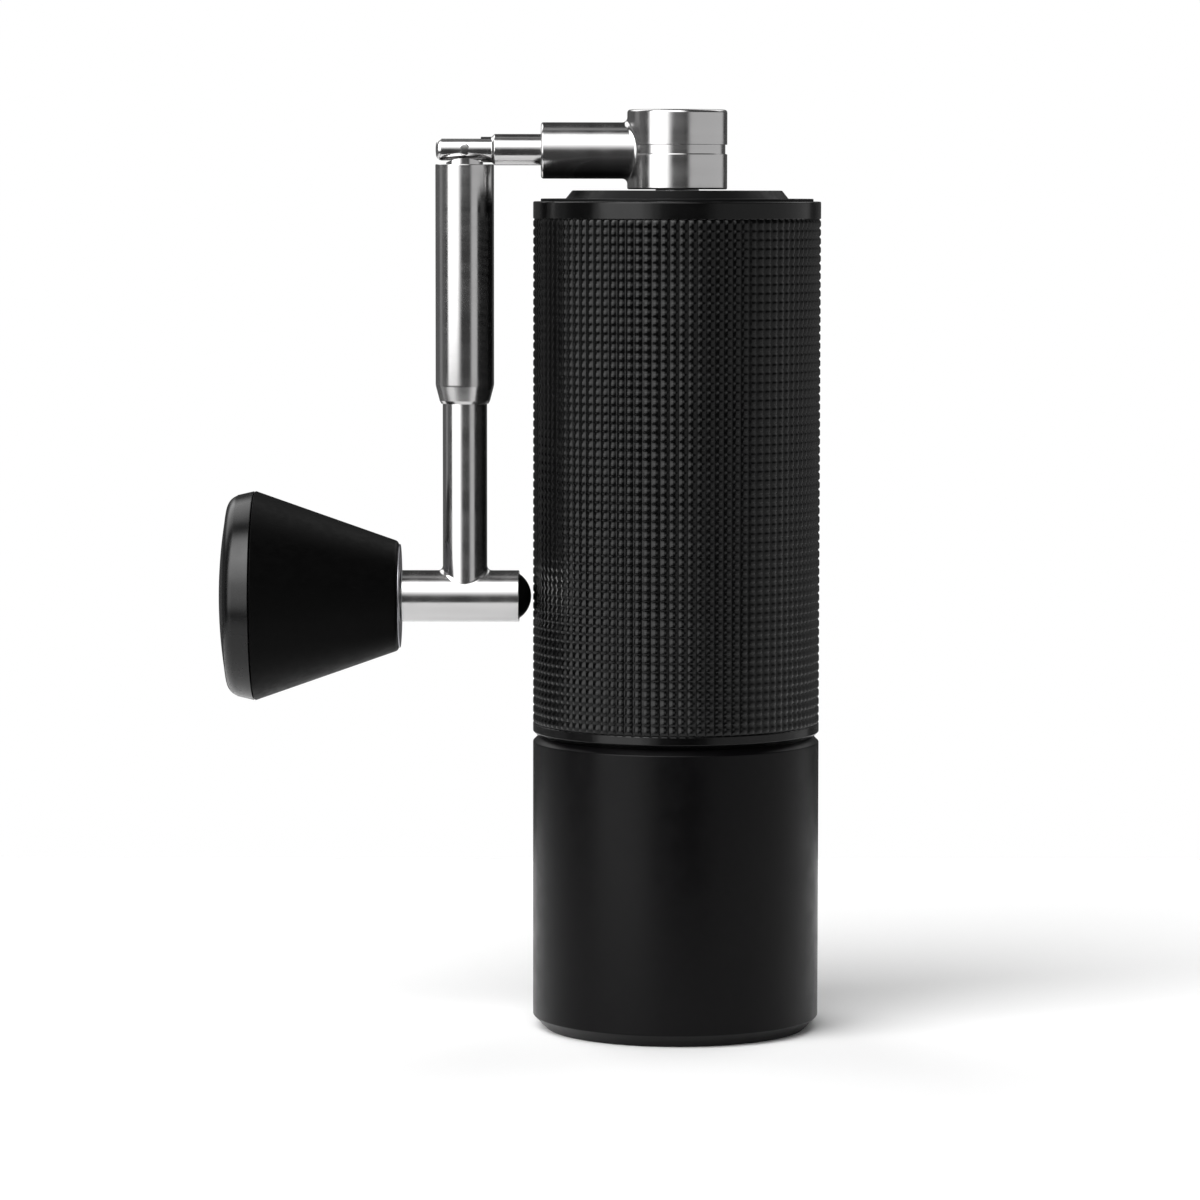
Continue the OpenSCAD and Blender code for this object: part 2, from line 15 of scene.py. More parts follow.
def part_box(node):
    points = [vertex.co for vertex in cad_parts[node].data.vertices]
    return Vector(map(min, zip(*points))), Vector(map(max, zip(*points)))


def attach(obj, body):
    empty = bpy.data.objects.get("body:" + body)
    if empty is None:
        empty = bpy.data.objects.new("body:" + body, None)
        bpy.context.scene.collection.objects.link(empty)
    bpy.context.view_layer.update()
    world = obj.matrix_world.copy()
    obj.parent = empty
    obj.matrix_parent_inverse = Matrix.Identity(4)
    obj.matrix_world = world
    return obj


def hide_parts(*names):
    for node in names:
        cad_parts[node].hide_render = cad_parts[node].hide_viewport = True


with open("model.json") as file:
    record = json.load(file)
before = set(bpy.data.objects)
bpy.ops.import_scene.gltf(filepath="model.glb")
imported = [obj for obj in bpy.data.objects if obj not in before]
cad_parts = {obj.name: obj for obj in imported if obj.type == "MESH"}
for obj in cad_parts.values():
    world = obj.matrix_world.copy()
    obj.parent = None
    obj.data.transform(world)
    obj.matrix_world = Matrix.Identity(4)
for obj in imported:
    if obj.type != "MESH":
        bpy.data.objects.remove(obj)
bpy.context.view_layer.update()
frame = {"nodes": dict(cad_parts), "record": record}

MM = 0.001
BODY_OF = {node: body for body, nodes in frame["record"]["behaviour"]["bodies"].items() for node in nodes}
SLOT_OF = {part["node"]: part["material_slot"] for part in frame["record"]["subparts"]}


def low(node):
    """A CAD node's lowest corner at rest, in millimetres."""
    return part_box(node)[0] / MM


def high(node):
    """A CAD node's highest corner at rest, in millimetres."""
    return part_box(node)[1] / MM


# ---------------------------------------------------------------- outlines

# A rounded corner uses at most this share of each side beside it
CORNER_SHARE = 0.45
# A point this many times as far out as the arc's end keeps the flat beside it shaded flat
ARC_GUARD = 1.12


def soften(points, closed=False, steps=4):
    """Rounds an outline's corners. A point is (radius, height) or (radius, height, corner radius)."""
    count = len(points)
    made = []
    for i, point in enumerate(points):
        here = Vector(point[:2])
        size = point[2] if len(point) > 2 else 0
        if not size or (not closed and i in (0, count - 1)):
            made.append(tuple(here))
            continue
        back = Vector(points[i - 1][:2]) - here
        on = Vector(points[(i + 1) % count][:2]) - here
        half = back.angle(on) / 2
        reach = min(size / tan(half), CORNER_SHARE * back.length, CORNER_SHARE * on.length)
        radius = reach * tan(half)
        back.normalize()
        on.normalize()
        centre = here + (back + on).normalized() * sqrt(reach ** 2 + radius ** 2)
        start = here + back * reach - centre
        turn = start.angle_signed(here + on * reach - centre)
        made.append(tuple(here + back * reach * ARC_GUARD))
        for k in range(steps + 1):
            spoke = start.copy()
            spoke.rotate(Matrix.Rotation(-turn * k / steps, 2))
            made.append(tuple(centre + spoke))
        made.append(tuple(here + on * reach * ARC_GUARD))
    return made


def arc(centre, radius, first, last, steps=12):
    """Points along an arc, with its angles in degrees."""
    angles = [radians(first + (last - first) * k / steps) for k in range(steps + 1)]
    return [(centre[0] + radius * cos(a), centre[1] + radius * sin(a)) for a in angles]


# ---------------------------------------------------------------- meshes

MERGE = 1e-5
POLE = 1e-6
# Angles in degrees above which an edge stays sharp
SMOOTH_ANGLE = 35
CUT_SMOOTH_ANGLE = 30
GRIP_SMOOTH_ANGLE = 60


def finish_mesh(name, bm, smooth_angle=SMOOTH_ANGLE):
    """Turns a bmesh in millimetres into an object in metres, with its normals outward."""
    bmesh.ops.remove_doubles(bm, verts=bm.verts, dist=MERGE)
    bmesh.ops.recalc_face_normals(bm, faces=bm.faces)
    bmesh.ops.scale(bm, vec=Vector((MM, MM, MM)), verts=bm.verts)
    mesh = bpy.data.meshes.new(name)
    bm.to_mesh(mesh)
    bm.free()
    mesh.shade_smooth()
    mesh.set_sharp_from_angle(angle=radians(smooth_angle))
    piece = bpy.data.objects.new(name, mesh)
    bpy.context.scene.collection.objects.link(piece)
    return piece


def add_lathe(bm, outline, axis="Z", centre=(0, 0, 0), segments=160, closed=False):
    """Adds a turned shape. outline holds (radius, height along the axis) points; radius 0 is a pole."""
    rings = []
    for r, h in outline:
        ring = []
        for k in range(1 if r < POLE else segments):
            a = 2 * pi * k / segments
            across, up = r * cos(a), r * sin(a)
            spot = (h, across, up) if axis == "X" else (across, up, h)
            ring.append(bm.verts.new(Vector(centre) + Vector(spot)))
        rings.append(ring)
    pairs = list(zip(rings, rings[1:]))
    if closed:
        pairs.append((rings[-1], rings[0]))
    for one, two in pairs:
        for k in range(segments):
            corners = (one[k % len(one)], one[(k + 1) % len(one)],
                       two[(k + 1) % len(two)], two[k % len(two)])
            face = list(dict.fromkeys(corners))
            if len(face) > 2:
                bm.faces.new(face)


def turned(name, outline, axis="Z", centre=(0, 0, 0), segments=160, closed=False):
    bm = bmesh.new()
    add_lathe(bm, outline, axis, centre, segments, closed)
    return finish_mesh(name, bm)


def add_block(bm, lowest, highest):
    size = Vector(highest) - Vector(lowest)
    middle = (Vector(highest) + Vector(lowest)) / 2
    bmesh.ops.create_cube(bm, size=1, matrix=Matrix.Translation(middle) @ Matrix.Diagonal((*size, 1)))


def combine(piece, build, operation):
    """Cuts, joins or intersects a piece with the shape that build() adds to a bmesh."""
    bm = bmesh.new()
    build(bm)
    tool = finish_mesh("cutter", bm)
    step = piece.modifiers.new("step", "BOOLEAN")
    step.object = tool
    step.operation = operation
    step.solver = "EXACT"
    bpy.context.view_layer.update()
    evaluated = piece.evaluated_get(bpy.context.evaluated_depsgraph_get())
    mesh = bpy.data.meshes.new_from_object(evaluated)
    piece.modifiers.clear()
    old = piece.data
    piece.data = mesh
    mesh.name = piece.name
    bpy.data.meshes.remove(old)
    bpy.data.objects.remove(tool)
    mesh.shade_smooth()
    mesh.set_sharp_from_angle(angle=radians(CUT_SMOOTH_ANGLE))
    return piece


def dress(piece, *nodes):
    """Puts a piece in place of CAD nodes: it rides on their body and takes their finish."""
    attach(piece, BODY_OF[nodes[0]])
    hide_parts(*nodes)
    piece.data.materials.clear()
    piece.data.materials.append(finish_for(nodes[0]))


def add_detail(piece, node):
    """Adds a piece that belongs to a CAD node but doesn't replace it."""
    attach(piece, BODY_OF[node])
    piece.data.materials.clear()
    piece.data.materials.append(finish_for(node))


# ---------------------------------------------------------------- materials

class Nodes:
    """Short names for building one material's node tree."""

    def __init__(self, name):
        self.material = bpy.data.materials.new(name)
        self.material.use_nodes = True
        self.tree = self.material.node_tree
        self.shader = next(n for n in self.tree.nodes if n.type == "BSDF_PRINCIPLED")
        self.place = self.tree.nodes.new("ShaderNodeTexCoord").outputs["Object"]

    def link(self, source, target):
        self.tree.links.new(source, target)

    def stretched(self, scale):
        """The piece's own coordinates, scaled by one number for each axis."""
        node = self.tree.nodes.new("ShaderNodeMapping")
        node.inputs["Scale"].default_value = scale
        self.link(self.place, node.inputs["Vector"])
        return node.outputs["Vector"]

    def noise(self, place, scale, detail=3.0, roughness=0.5):
        node = self.tree.nodes.new("ShaderNodeTexNoise")
        node.inputs["Scale"].default_value = scale
        node.inputs["Detail"].default_value = detail
        node.inputs["Roughness"].default_value = roughness
        self.link(place, node.inputs["Vector"])
        return node.outputs["Fac"]

    def between(self, value, lowest, highest, start=0.3, end=0.7):
        """Maps a value from start..end to lowest..highest, smoothly."""
        node = self.tree.nodes.new("ShaderNodeMapRange")
        node.interpolation_type = "SMOOTHSTEP"
        keys = ("From Min", "From Max", "To Min", "To Max")
        for key, number in zip(keys, (start, end, lowest, highest)):
            node.inputs[key].default_value = number
        self.link(value, node.inputs["Value"])
        return node.outputs["Result"]

    def mix(self, value, first, second):
        """A colour between first and second."""
        node = self.tree.nodes.new("ShaderNodeMix")
        node.data_type = "RGBA"
        self.link(value, node.inputs["Factor"])
        for key, colour in (("A", first), ("B", second)):
            socket = next(s for s in node.inputs if s.name == key and s.type == "RGBA")
            socket.default_value = (*colour, 1)
        return next(s for s in node.outputs if s.type == "RGBA")

    def add(self, first, second):
        node = self.tree.nodes.new("ShaderNodeMath")
        self.link(first, node.inputs[0])
        self.link(second, node.inputs[1])
        return node.outputs[0]

    def bump(self, height, depth):
        """Bump at full strength, with its depth in millimetres."""
        node = self.tree.nodes.new("ShaderNodeBump")
        node.inputs["Distance"].default_value = depth * MM
        node.inputs["Strength"].default_value = 1.0
        self.link(height, node.inputs["Height"])
        self.link(node.outputs["Normal"], self.shader.inputs["Normal"])

    def set(self, **values):
        for key, value in values.items():
            self.shader.inputs[key.replace("_", " ")].default_value = value


EVEN = (1, 1, 1)
# Noise scales, from the broad drift in tone to the fine grain
BLAST_TONE, BLAST_GLOSS, BLAST_PITS = 60, 240, 5200
MOULD_TONE, MOULD_GLOSS, MOULD_GRAIN = 90, 700, 2600
TURN_TONE, TURN_BANDS, TURN_MARKS = 130, 420, 5200
# How much a tool mark varies round its axis, as a share of how much it varies along it
ROUND = 0.02


def blasted_black(name, colour, rough, grain=0.012, level=0.5):
    """Bead-blasted black anodising: fine pits, and tone and gloss that drift a little."""
    n = Nodes(name)
    place = n.stretched(EVEN)
    drift = n.noise(place, BLAST_TONE)
    pits = n.noise(place, BLAST_PITS, detail=2)
    n.link(n.mix(drift, colour, [c * 1.35 for c in colour]), n.shader.inputs["Base Color"])
    gloss = n.noise(place, BLAST_GLOSS)
    n.link(n.between(gloss, rough - 0.035, rough + 0.035), n.shader.inputs["Roughness"])
    n.bump(pits, grain)
    n.set(Specular_IOR_Level=level)
    return n.material


def moulded_black(name, colour, rough, grain=0.02, level=0.5):
    """Moulded plastic or rubber with a fine spark-eroded grain."""
    n = Nodes(name)
    place = n.stretched(EVEN)
    drift = n.noise(place, MOULD_TONE)
    n.link(n.mix(drift, colour, [c * 1.5 for c in colour]), n.shader.inputs["Base Color"])
    gloss = n.noise(place, MOULD_GLOSS)
    n.link(n.between(gloss, rough - 0.04, rough + 0.05), n.shader.inputs["Roughness"])
    n.bump(n.noise(place, MOULD_GRAIN, detail=3), grain)
    n.set(Specular_IOR_Level=level)
    return n.material


def turned_metal(name, light, dark, rough, axis, lines=0.0012):
    """Turned metal. The tool marks run round the given axis, so they vary mostly along it."""
    n = Nodes(name)
    along = {"X": (1, ROUND, ROUND), "Z": (ROUND, ROUND, 1)}[axis]
    marks = n.noise(n.stretched(along), TURN_MARKS, detail=2, roughness=0.6)
    bands = n.noise(n.stretched(along), TURN_BANDS, detail=2)
    cloud = n.noise(n.stretched(EVEN), TURN_TONE)
    n.link(n.mix(cloud, dark, light), n.shader.inputs["Base Color"])
    gloss = n.between(n.add(bands, cloud), rough - 0.03, rough + 0.05, 0.7, 1.3)
    n.link(gloss, n.shader.inputs["Roughness"])
    n.bump(marks, lines)
    n.set(Metallic=1.0)
    return n.material


STEEL_LIGHT, STEEL_DARK = (0.58, 0.575, 0.575), (0.51, 0.505, 0.505)
STEEL_ROUGH = 0.17
# The blacks take a colour and a roughness. The metals take a light colour, a dark one and a roughness.
finishes = {
    "anodised_black": blasted_black("anodised_black", (0.0004, 0.0004, 0.00045), 0.21,
                                    grain=0.003, level=0.27),
    "moulded_black": moulded_black("moulded_black", (0.0015, 0.0015, 0.0016), 0.45,
                                   grain=0.01, level=0.12),
    "knob_black": moulded_black("knob_black", (0.0006, 0.0006, 0.0006), 0.45,
                                grain=0.01, level=0.06),
    "cap_black": blasted_black("cap_black", (0.0006, 0.0006, 0.0007), 0.26,
                               grain=0.003, level=0.36),
    "rubber_black": moulded_black("rubber_black", (0.0012, 0.0012, 0.0012), 0.5,
                                  grain=0.008, level=0.08),
    "crank_steel": turned_metal("crank_steel", STEEL_LIGHT, STEEL_DARK, STEEL_ROUGH, "Z"),
    "inner_steel": turned_metal("inner_steel", (0.6, 0.6, 0.61), (0.5, 0.5, 0.51), 0.22, "Z"),
    "burr_steel": turned_metal("burr_steel", (0.4, 0.4, 0.42), (0.28, 0.28, 0.3), 0.34, "Z"),
    "brass": turned_metal("brass", (0.78, 0.57, 0.27), (0.62, 0.43, 0.18), 0.25, "Z"),
}
steel_along_x = turned_metal("crank_steel_along_x", STEEL_LIGHT, STEEL_DARK, STEEL_ROUGH, "X")
cup_black = blasted_black("cup_black", (0.001, 0.0009, 0.0011), 0.32, grain=0.004, level=0.12)


def finish_for(node):
    return finishes[SLOT_OF[node]]


for node, carried in frame["nodes"].items():
    carried.data.materials.clear()
    carried.data.materials.append(finish_for(node))


# ---------------------------------------------------------------- cup and body

body_r = high("catch_cup").x
cup_top = high("catch_cup").z
body_top = high("body_shell").z
EDGE = 0.12
NOTCH = 1.0
FOOT_CHAMFER = 2.4
FOOT_RECESS = 0.35
CUP_FLOOR = 2.4
CUP_THREAD_LEN = 8.4
# Walls and steps, as depths in from the outside skin
CUP_WALL = 2.2
BODY_WALL = 2.2
LID_SEAT = 1.3
THREAD_BORE = 1.65
THREAD_CREST = 1.75
SPIGOT_BORE = 3.5
# The lid's seat below the top rim, and the top of the spigot's bore above the cup
LID_SEAT_DEPTH = 1.8
SPIGOT_ROOF = 3.6


def make_cup():
    inner = body_r - CUP_WALL
    mouth = body_r - THREAD_BORE
    neck = cup_top - CUP_THREAD_LEN
    outline = [
        (0, FOOT_RECESS), (body_r - 6, FOOT_RECESS, 0.2), (body_r - 5.5, 0, 0.2),
        (body_r - FOOT_CHAMFER, 0, 0.35),
        (body_r, FOOT_CHAMFER, 0.3), (body_r, cup_top - NOTCH, 0.3), (body_r - NOTCH, cup_top, EDGE),
        (mouth, cup_top, EDGE), (mouth, neck), (inner, neck - 0.6, EDGE), (inner, CUP_FLOOR, 2),
        (0, CUP_FLOOR),
    ]
    return turned("catch_cup_finished", soften(outline), segments=256)


GRIP_COLUMNS = 100
GRIP_ROWS = 58
ROW_GROOVE = 0.27
COLUMN_GROOVE = 0.32
# Shares of a row's height and of a column's width
ROW_FLANK = 0.26
GROOVE_HALF = 0.06
LAND_START = 0.24
# An extra row this far from the grip keeps the plain rings shaded flat
GUARD = 0.08
RING_BELOW = 2.4
RING_ABOVE = 3.1
RING_EDGE = 0.16


def grip_rows(z0, z1):
    """(height, cell height from 0 to 1, whether columns cut it) for each row of the grip."""
    first, last = z0 + RING_EDGE, z1 - RING_EDGE
    pitch = (last - first) / GRIP_ROWS
    rows = [(z0, 1, False)]
    for i in range(GRIP_ROWS):
        foot = first + i * pitch
        rows += [(foot + part * pitch, height, True)
                 for part, height in ((0, 0), (ROW_FLANK, 1), (1 - ROW_FLANK, 1))]
    return rows + [(last, 0, True), (z1, 1, False)]


def make_body():
    """The tube with its cross-cut grip, as one closed skin with real cells."""
    inner = body_r - BODY_WALL
    seat = body_r - LID_SEAT
    spigot = body_r - SPIGOT_BORE
    under = soften([
        (spigot, cup_top + SPIGOT_ROOF), (spigot, cup_top), (body_r - NOTCH, cup_top, 0.08),
        (body_r, cup_top + NOTCH, EDGE), (body_r, cup_top + RING_BELOW),
    ], steps=2)[:-1]
    over = soften([
        (body_r, body_top - RING_ABOVE), (body_r, body_top, 0.25), (seat, body_top, EDGE),
        (seat, body_top - LID_SEAT_DEPTH), (inner, body_top - LID_SEAT_DEPTH),
        (inner, cup_top + SPIGOT_ROOF),
    ], steps=2)[1:]
    under.append((body_r, cup_top + RING_BELOW - GUARD))
    over.insert(0, (body_r, body_top - RING_ABOVE + GUARD))
    rows = [(r, z, False) for r, z in under]
    for z, height, cut in grip_rows(cup_top + RING_BELOW, body_top - RING_ABOVE):
        rows.append((body_r - ROW_GROOVE * (1 - height), z, cut))
    rows += [(r, z, False) for r, z in over]
    cell = (-GROOVE_HALF, GROOVE_HALF, LAND_START, 1 - LAND_START)
    bm = bmesh.new()
    rings = []
    for r, z, cut in rows:
        ring = []
        for column in range(GRIP_COLUMNS):
            for k, part in enumerate(cell):
                a = 2 * pi * (column + part) / GRIP_COLUMNS
                at = body_r - COLUMN_GROOVE if cut and k < 2 else r
                ring.append(bm.verts.new((at * cos(a), at * sin(a), z)))
        rings.append(ring)
    count = GRIP_COLUMNS * len(cell)
    for one, two in zip(rings, rings[1:] + rings[:1]):
        for k in range(count):
            bm.faces.new((one[k], one[(k + 1) % count], two[(k + 1) % count], two[k]))
    return finish_mesh("body_tube_finished", bm, GRIP_SMOOTH_ANGLE)


THREAD_PITCH = 1.5
THREAD_TURNS = 4
THREAD_DEPTH = 0.55
THREAD_START = 1.1
THREAD_STEPS = 96
# The ridge's section as (outward, upward) points; its foot is buried in the spigot
THREAD_RIDGE = ((-0.1, -0.45), (THREAD_DEPTH, -0.16), (THREAD_DEPTH, 0.16), (-0.1, 0.45))


def make_spigot():
    """The threaded spigot under the body, with a true helical ridge."""
    crest = body_r - THREAD_CREST
    root = crest - THREAD_DEPTH
    bore = body_r - SPIGOT_BORE
    foot = low("body_shell").z
    bm = bmesh.new()
    wall = [(bore, cup_top + 0.5), (bore, foot, 0.15), (root, foot, 0.2), (root, cup_top + 0.5)]
    add_lathe(bm, soften(wall, closed=True, steps=2), segments=160, closed=True)
    rings = []
    total = THREAD_TURNS * THREAD_STEPS
    fade_steps = THREAD_STEPS / 8
    for k in range(total + 1):
        a = 2 * pi * k / THREAD_STEPS
        fade = min(1, k / fade_steps, (total - k) / fade_steps)
        z = foot + THREAD_START + THREAD_PITCH * k / THREAD_STEPS
        rings.append([
            bm.verts.new(((root + out * fade) * cos(a), (root + out * fade) * sin(a), z + up))
            for out, up in THREAD_RIDGE
        ])
    for one, two in zip(rings, rings[1:]):
        for j in range(4):
            bm.faces.new((one[j], one[(j + 1) % 4], two[(j + 1) % 4], two[j]))
    bm.faces.new(rings[0])
    bm.faces.new(rings[-1])
    return finish_mesh("body_spigot_thread", bm)


def make_lid():
    rim = high("lid_cover").x
    top = high("lid_cover").z
    seat = body_top - LID_SEAT_DEPTH
    skirt = body_r - 2.5
    hole = 4.7
    flange = body_top + 0.5
    outline = [
        (hole, top, 0.2), (body_r - 7.2, top, 0.35), (body_r - 6, flange, 0.25),
        (rim, flange, 0.18), (rim, seat, EDGE), (skirt, seat), (skirt, seat - 1.3, EDGE),
        (skirt - 0.8, seat - 1.3), (skirt - 0.8, seat - 3.3), (skirt, seat - 3.3, EDGE),
        (skirt, seat - 5.1, 0.3), (skirt - 2, seat - 5.1, 0.2), (skirt - 2, body_top - 2.2, 0.5),
        (skirt - 5.4, body_top - 0.3, 0.5), (hole + 1.7, body_top - 0.3, 0.2),
        (hole + 1.7, body_top - 2, EDGE), (hole, body_top - 2, EDGE),
    ]
    return turned("lid_finished", soften(outline, closed=True), segments=224, closed=True)


cup = make_cup()
dress(cup, "catch_cup")
cup.data.materials[0] = cup_black
dress(make_body(), "body_shell")
add_detail(make_spigot(), "body_shell")
dress(make_lid(), "lid_cover")


# ---------------------------------------------------------------- crank

hub_r = high("hub_boss").x
hub_low, hub_high = low("hub_boss").z, high("hub_boss").z
arm_r = high("crank_arm").y
arm_z = (low("crank_arm").z + high("crank_arm").z) / 2
heel_x = low("crank_arm").x
pin_x = (low("hinge_pin").x + high("hinge_pin").x) / 2
pin_z = (low("hinge_pin").z + high("hinge_pin").z) / 2
pin_r = (high("hinge_pin").x - low("hinge_pin").x) / 2
pin_reach = high("hinge_pin").y
rod_r = high("link_rod").y
tee_r = high("tee_bar").y
tee_z = (low("tee_bar").z + high("tee_bar").z) / 2
tee_x0, tee_x1 = low("tee_bar").x, high("tee_bar").x
sleeve_r = high("lock_sleeve").y
sleeve_low, sleeve_high = low("lock_sleeve").z, high("lock_sleeve").z
ARM_END = -25.05
NECK_R = 2.86
EYE_R = 2.35
NECK_STEP = 5.0
FORK_DEPTH = 3.0
TONGUE_W = 2.4
TONGUE_R = 2.0
SLOT_DEPTH = 5.75
WELD_R = 0.9
ROD_GAP = 0.05


def make_hub():
    groove = hub_low + 6.4
    socket = 4.1
    socket_top = hub_low + 11.2
    outline = [
        (0, hub_high), (hub_r, hub_high, 0.55), (hub_r, groove + 1.8, 0.06),
        (hub_r - 0.35, groove + 1.8, 0.05), (hub_r - 0.35, groove + 0.12, 0.05), (hub_r, groove, 0.06),
        (hub_r, hub_low, 0.3), (socket, hub_low, EDGE), (socket, socket_top), (0, socket_top),
    ]
    return turned("hub_finished", soften(outline), segments=256)


def make_arm():
    bar = soften([(0, -6.5), (arm_r, -6.5), (arm_r, ARM_END, 0.45), (0, ARM_END)])
    neck = soften([
        (0, ARM_END + 1), (NECK_R, ARM_END + 1), (NECK_R, pin_x + NECK_STEP + NECK_R - EYE_R, 0.3),
        (EYE_R, pin_x + NECK_STEP, 0.3), (EYE_R, heel_x, 1.2), (0, heel_x),
    ])
    piece = turned("crank_arm_finished", bar, "X", (0, 0, arm_z), segments=192)
    combine(piece, lambda bm: add_lathe(bm, neck, "X", (0, 0, pin_z), segments=144), "UNION")
    half = TONGUE_W / 2 + ROD_GAP
    slot_low, slot_high = (heel_x - 1, -half, pin_z - 5), (pin_x + FORK_DEPTH, half, pin_z + 5)
    combine(piece, lambda bm: add_block(bm, slot_low, slot_high), "DIFFERENCE")
    skin_r = hub_r - 0.6
    hub_skin = [(0, hub_low + 0.5), (skin_r, hub_low + 0.5), (skin_r, hub_high - 0.5), (0, hub_high - 0.5)]
    return combine(piece, lambda bm: add_lathe(bm, hub_skin, segments=160), "DIFFERENCE")


def rolled_fillet(name, ball, rail, bury=0.4, steps=128, arc_steps=6):
    """A fillet left by a ball rolled round the joint of two round bars.

    rail(a) gives the ball's centre at angle a and the two points where it touches the bars.
    """
    bm = bmesh.new()
    rings = []
    for k in range(steps):
        centre, first, second = rail(2 * pi * k / steps)
        to_first, to_second = (first - centre).normalized(), (second - centre).normalized()
        ring = []
        for j in range(arc_steps + 1):
            spoke = to_first.slerp(to_second, j / arc_steps)
            ring.append(bm.verts.new(centre + spoke * ball))
        ring.append(bm.verts.new(second + to_second * bury))
        ring.append(bm.verts.new(first + to_first * bury + to_second * bury))
        ring.append(bm.verts.new(first + to_first * bury))
        rings.append(ring)
    for one, two in zip(rings, rings[1:] + rings[:1]):
        size = len(one)
        for j in range(size):
            bm.faces.new((one[j], one[(j + 1) % size], two[(j + 1) % size], two[j]))
    return finish_mesh(name, bm)


def rod_weld(a):
    """Touching points of a ball in the corner between the upright rod and the tee bar."""
    x, y = (rod_r + WELD_R) * cos(a), (rod_r + WELD_R) * sin(a)
    rise = sqrt((tee_r + WELD_R) ** 2 - y ** 2)
    centre = Vector((pin_x + x, y, tee_z + rise))
    share = tee_r / (tee_r + WELD_R)
    on_rod = Vector((pin_x + rod_r * cos(a), rod_r * sin(a), centre.z))
    on_tee = Vector((centre.x, y * share, tee_z + rise * share))
    return centre, on_rod, on_tee


def hub_weld(a):
    """Touching points of a ball in the corner between the arm and the hub."""
    y, z = (arm_r + WELD_R) * sin(a), (arm_r + WELD_R) * cos(a)
    reach = sqrt((hub_r + WELD_R) ** 2 - y ** 2)
    centre = Vector((-reach, y, arm_z + z))
    share = hub_r / (hub_r + WELD_R)
    on_arm = Vector((-reach, arm_r * sin(a), arm_z + arm_r * cos(a)))
    on_hub = Vector((-reach * share, y * share, centre.z))
    return centre, on_arm, on_hub


def make_rod():
    """The upright rod: a slot for the arm's fork, two domed lugs and the tongue on the pin."""
    shoulder = pin_z - 2.75
    dome_r = 7.4
    dome_z = pin_z - 1.6 - dome_r
    rod = turned("link_rod_finished", [(0, tee_z), (rod_r, tee_z), (rod_r, pin_z), (0, pin_z)],
                 centre=(pin_x, 0, 0), segments=192)

    def crossbar(bm, r, z, half):
        spin = Matrix.Translation((pin_x, 0, z)) @ Matrix.Rotation(pi / 2, 4, "X")
        bmesh.ops.create_cone(bm, cap_ends=True, segments=192, radius1=r, radius2=r,
                              depth=2 * half, matrix=spin)

    block = [(0, tee_z - 1), (9, tee_z - 1), (9, shoulder), (0, shoulder)]
    kept = turned("kept", block, centre=(pin_x, 0, 0))
    combine(kept, lambda bm: crossbar(bm, dome_r, dome_z, 6), "UNION")
    shape = kept.data.copy()
    bpy.data.objects.remove(kept)

    def kept_shape(bm):
        bm.from_mesh(shape)
        bmesh.ops.scale(bm, vec=Vector((1 / MM,) * 3), verts=bm.verts)

    combine(rod, kept_shape, "INTERSECT")
    side = EYE_R + ROD_GAP
    foot = pin_z - SLOT_DEPTH
    slot_low, slot_high = (pin_x - 10, -side, foot), (pin_x + 10, side, pin_z + 10)
    combine(rod, lambda bm: add_block(bm, slot_low, slot_high), "DIFFERENCE")
    half = TONGUE_W / 2
    tongue_low, tongue_high = (pin_x - TONGUE_R, -half, foot - 1), (pin_x + TONGUE_R, half, pin_z)
    combine(rod, lambda bm: add_block(bm, tongue_low, tongue_high), "UNION")
    combine(rod, lambda bm: crossbar(bm, TONGUE_R, pin_z, half), "UNION")
    skin_r = tee_r - 0.3
    tee_skin = [(0, tee_x0 - 2), (skin_r, tee_x0 - 2), (skin_r, tee_x1 + 2), (0, tee_x1 + 2)]
    combine(rod, lambda bm: add_lathe(bm, tee_skin, "X", (0, 0, tee_z), segments=160), "DIFFERENCE")
    return rod


def make_pin():
    """The fold pin, with slightly crowned ends."""
    crown = 0.12
    outline = soften([(0, -pin_reach - crown), (pin_r, -pin_reach, 0.25), (pin_r, pin_reach, 0.25),
                      (0, pin_reach + crown)])
    piece = turned("hinge_pin_finished", outline, "X", segments=64)
    place = Matrix.Translation((pin_x * MM, 0, pin_z * MM))
    piece.data.transform(place @ Matrix.Rotation(pi / 2, 4, "Z"))
    return piece


def make_sleeve():
    bore = rod_r + ROD_GAP
    outline = [
        (bore, sleeve_low, 0.05), (bore + 0.2, sleeve_low, 0.05),
        (sleeve_r - 0.75, sleeve_low + 0.55, 0.15), (sleeve_r - 0.06, sleeve_low + 3.2, 0.5),
        (sleeve_r, sleeve_low + 3.6), (sleeve_r, sleeve_high, 0.15),
        (bore + 0.95, sleeve_high, 0.05), (bore, sleeve_high - 1.6, 0.3),
    ]
    return turned("lock_sleeve_finished", soften(outline, closed=True), centre=(pin_x, 0, 0),
                  segments=224, closed=True)


def make_tee():
    bore = 3.4
    outline = [
        (bore, tee_x0, EDGE), (tee_r, tee_x0, 0.2), (tee_r, tee_x1, 0.2), (bore, tee_x1, EDGE),
    ]
    return turned("tee_bar_finished", soften(outline, closed=True), "X", (0, 0, tee_z), 224, closed=True)


def make_bumper():
    tip = high("bumper").x
    dome_r = high("bumper").y
    rise = tip - tee_x1
    ball = (dome_r ** 2 + rise ** 2) / (2 * rise)
    spread = atan2(dome_r, ball - rise) * 180 / pi
    crown = arc((0, tip - ball), ball, 90 - spread, 90, 14)
    outline = [(0, tee_x1 - 1.9), (3.35, tee_x1 - 1.9), (3.35, tee_x1 - 0.02)] + crown[:-1] + [(0, tip)]
    return turned("bumper_finished", outline, "X", (0, 0, tee_z), 128)


